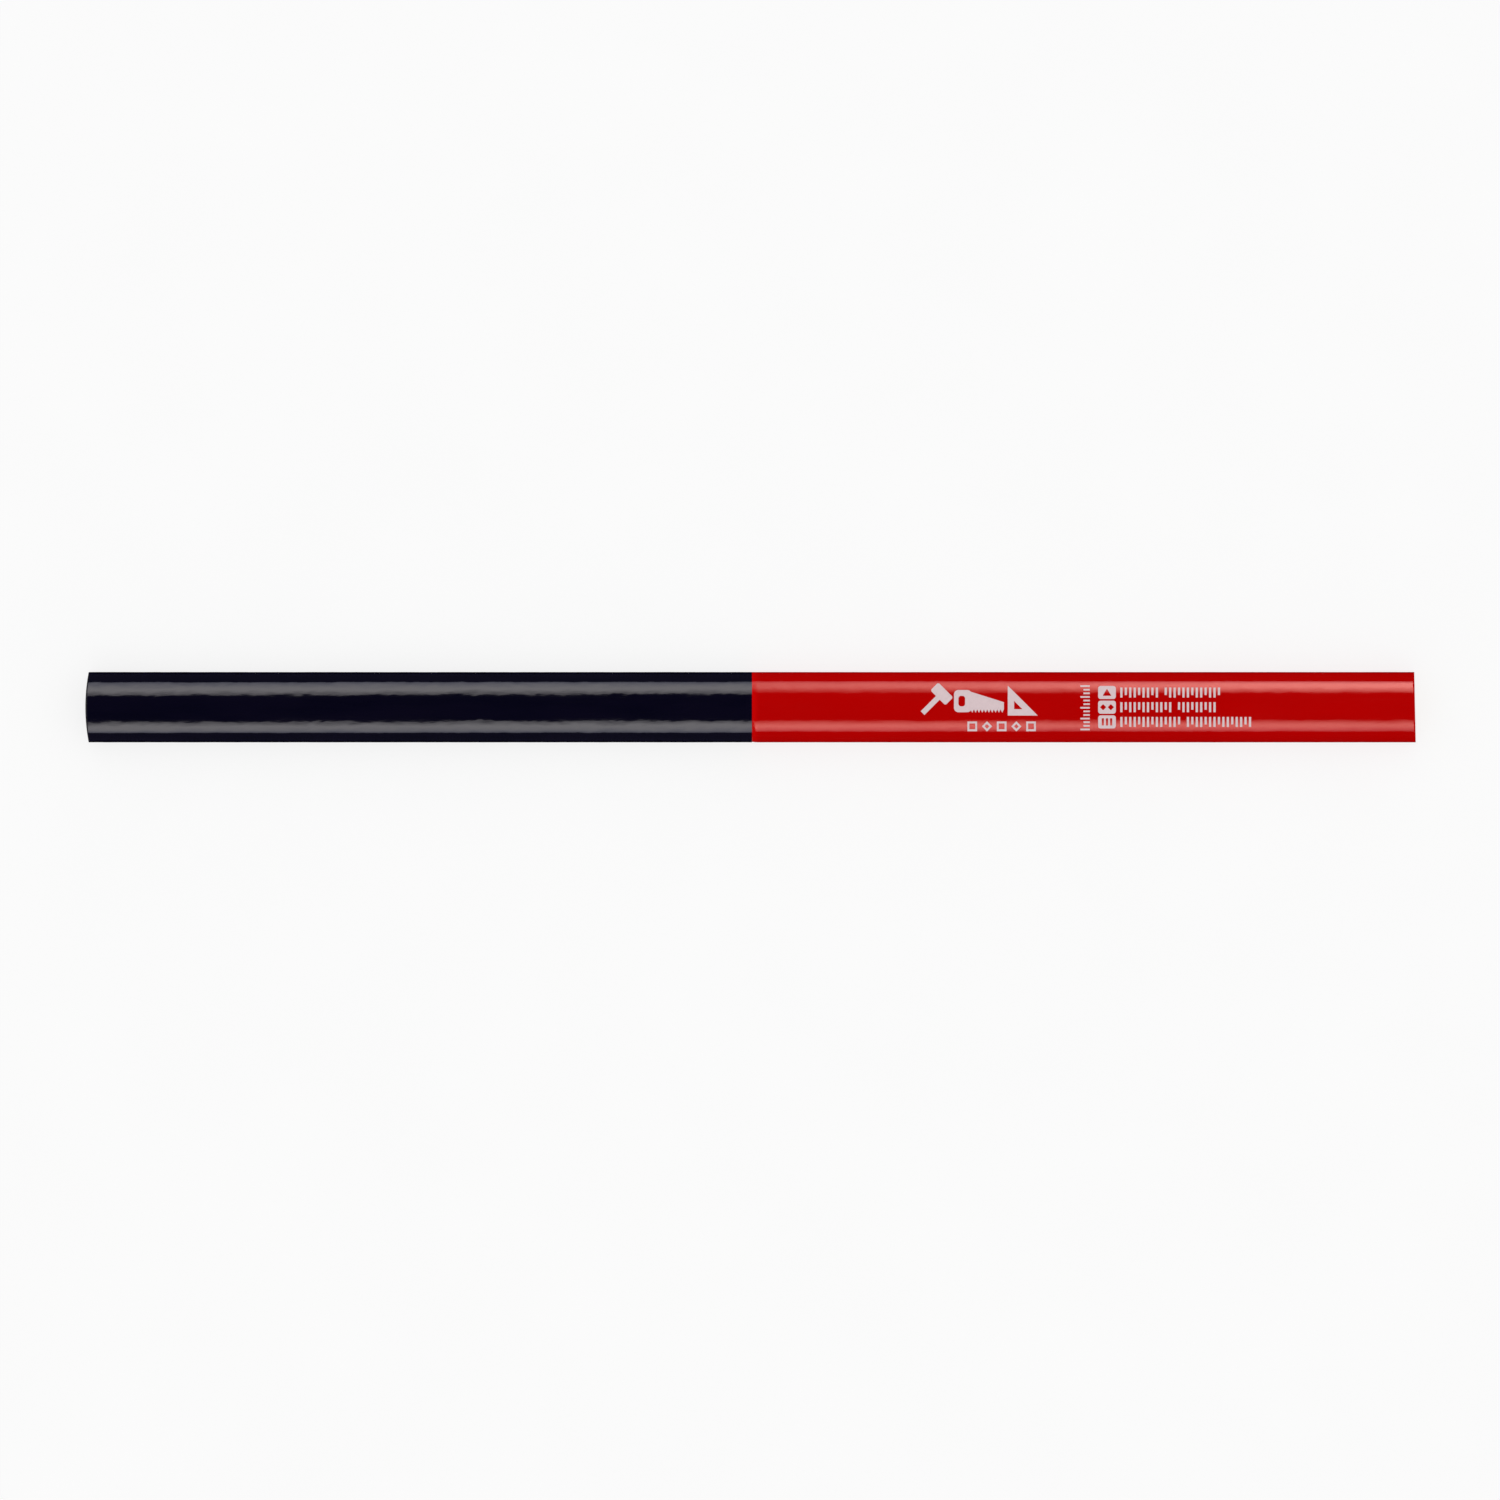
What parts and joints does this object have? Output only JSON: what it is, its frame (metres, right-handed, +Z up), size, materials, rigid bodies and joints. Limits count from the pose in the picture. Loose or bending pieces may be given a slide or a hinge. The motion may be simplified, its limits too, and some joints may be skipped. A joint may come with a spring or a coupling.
{
  "type": "carpenter pencil",
  "caption": "Unsharpened flat oval carpenter's pencil, half navy and half red lacquer over glued wooden slats and a flat two-colour core, for marking timber and masonry.",
  "frame": {"origin": "On the ground under the middle of the pencil's length and width, with the pencil lying on a broad face.", "axes": "+X along the pencil towards the sawn red end, +Y across the broad face, +Z up out of the printed broad face."},
  "size_m": [0.24, 0.0126, 0.0073],
  "materials": {
    "wood": "matte",
    "glue": "satin",
    "lead_blue": "matte",
    "lead_red": "matte",
    "base_coat": "satin",
    "lacquer_navy": "gloss",
    "lacquer_red": "gloss",
    "print": "satin"
  },
  "bodies": {
    "root": {"casing_upper": "wood", "casing_lower": "wood", "glue_film": "glue", "lead_blue": "lead_blue", "lead_red": "lead_red", "base_coat": "base_coat", "lacquer_navy": "lacquer_navy", "lacquer_red": "lacquer_red", "print_mallet": "print", "print_saw": "print", "print_set_square": "print", "print_symbol_row": "print", "print_tick_strip": "print", "print_tag_top": "print", "print_tag_middle": "print", "print_tag_bottom": "print", "print_line_top": "print", "print_line_middle": "print", "print_line_bottom": "print"}
  },
  "joints": []
}
